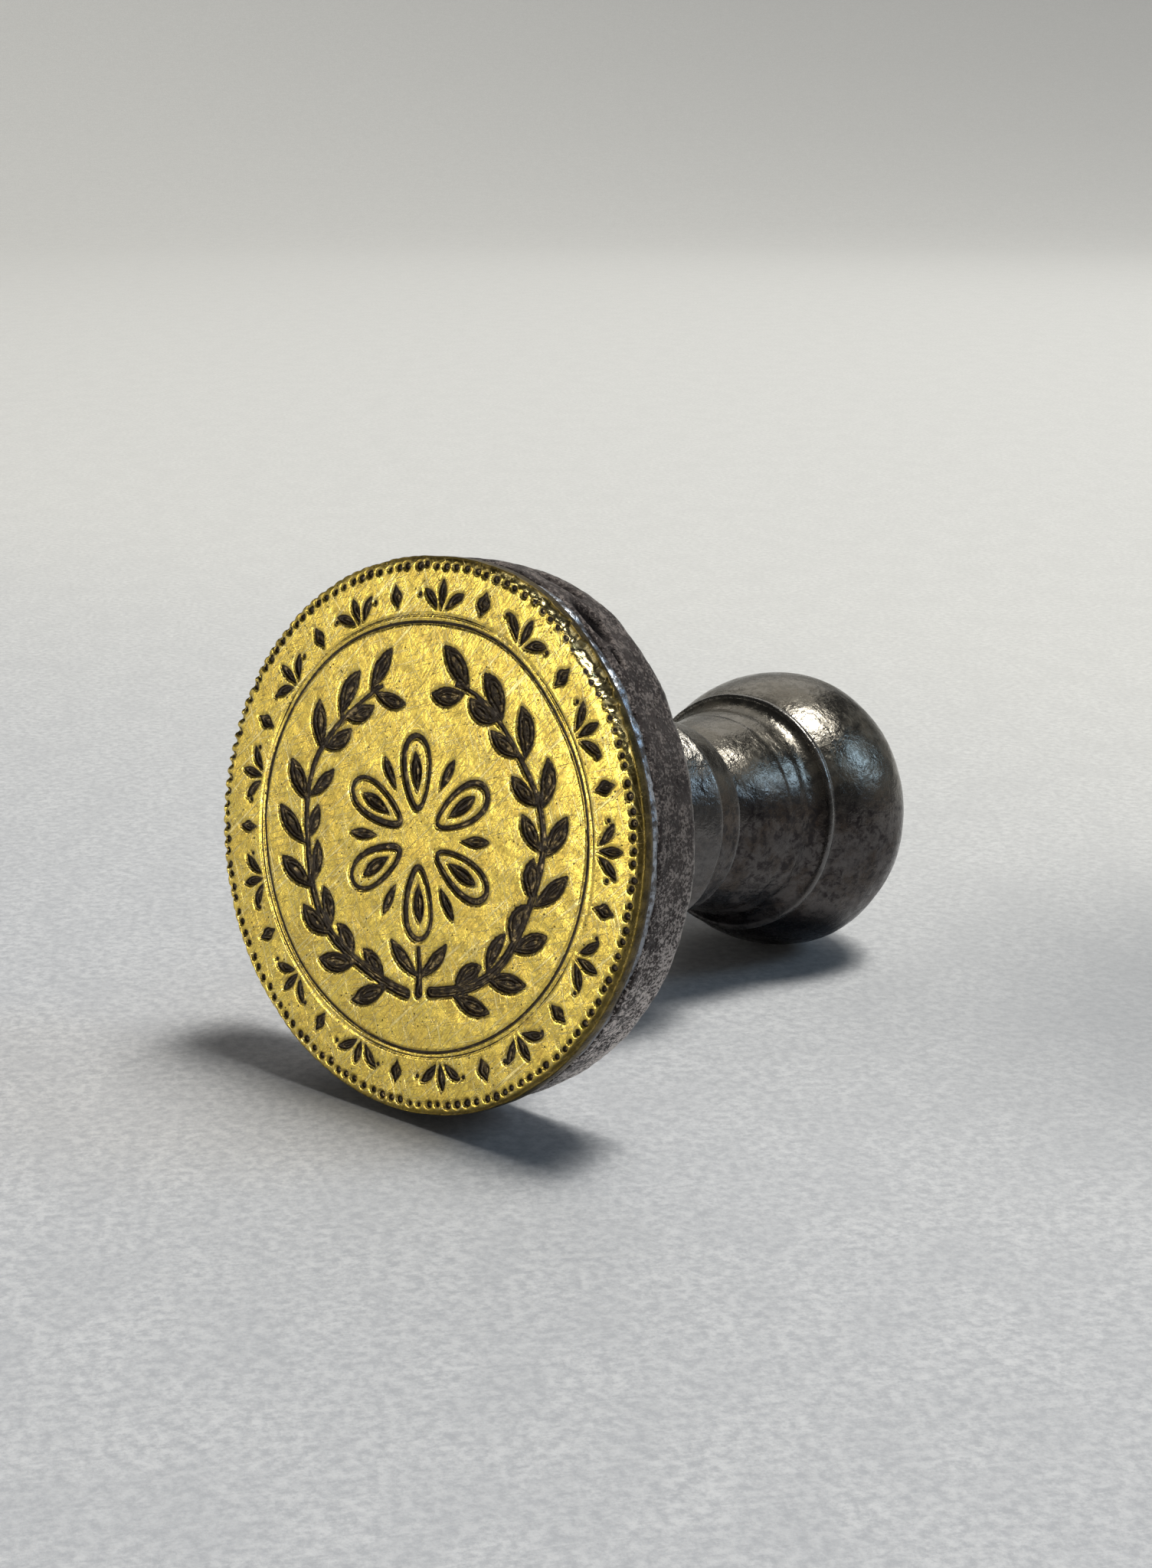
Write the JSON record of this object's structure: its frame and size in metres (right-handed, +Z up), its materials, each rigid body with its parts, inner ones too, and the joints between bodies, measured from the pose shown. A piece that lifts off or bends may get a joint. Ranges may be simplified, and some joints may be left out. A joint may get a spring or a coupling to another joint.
{
  "type": "hand seal stamp",
  "caption": "Hand seal for stamping: engraved brass face soldered to a thick iron disc on a turned iron handle, lying on its side.",
  "frame": {"origin": "on the table, under the middle of the seal's bounding box as it lies on the back rim of its disc and the side of its knob", "axes": "+Z up, +Y along the handle towards the knob, +X to the side; the engraved face looks to -Y and a little up"},
  "size_m": [0.042, 0.0604, 0.042],
  "materials": {
    "engraved_brass": "polished land, dark patina in the engraving",
    "silver_solder": "dull, uneven",
    "pitted_iron": "rough and pitted",
    "turned_iron": "worn dark brown patina, satin to glossy"
  },
  "bodies": {
    "root": {"face_plate": "engraved_brass", "solder_layer": "silver_solder", "backing_disc": "pitted_iron", "handle": "turned_iron"}
  },
  "joints": []
}
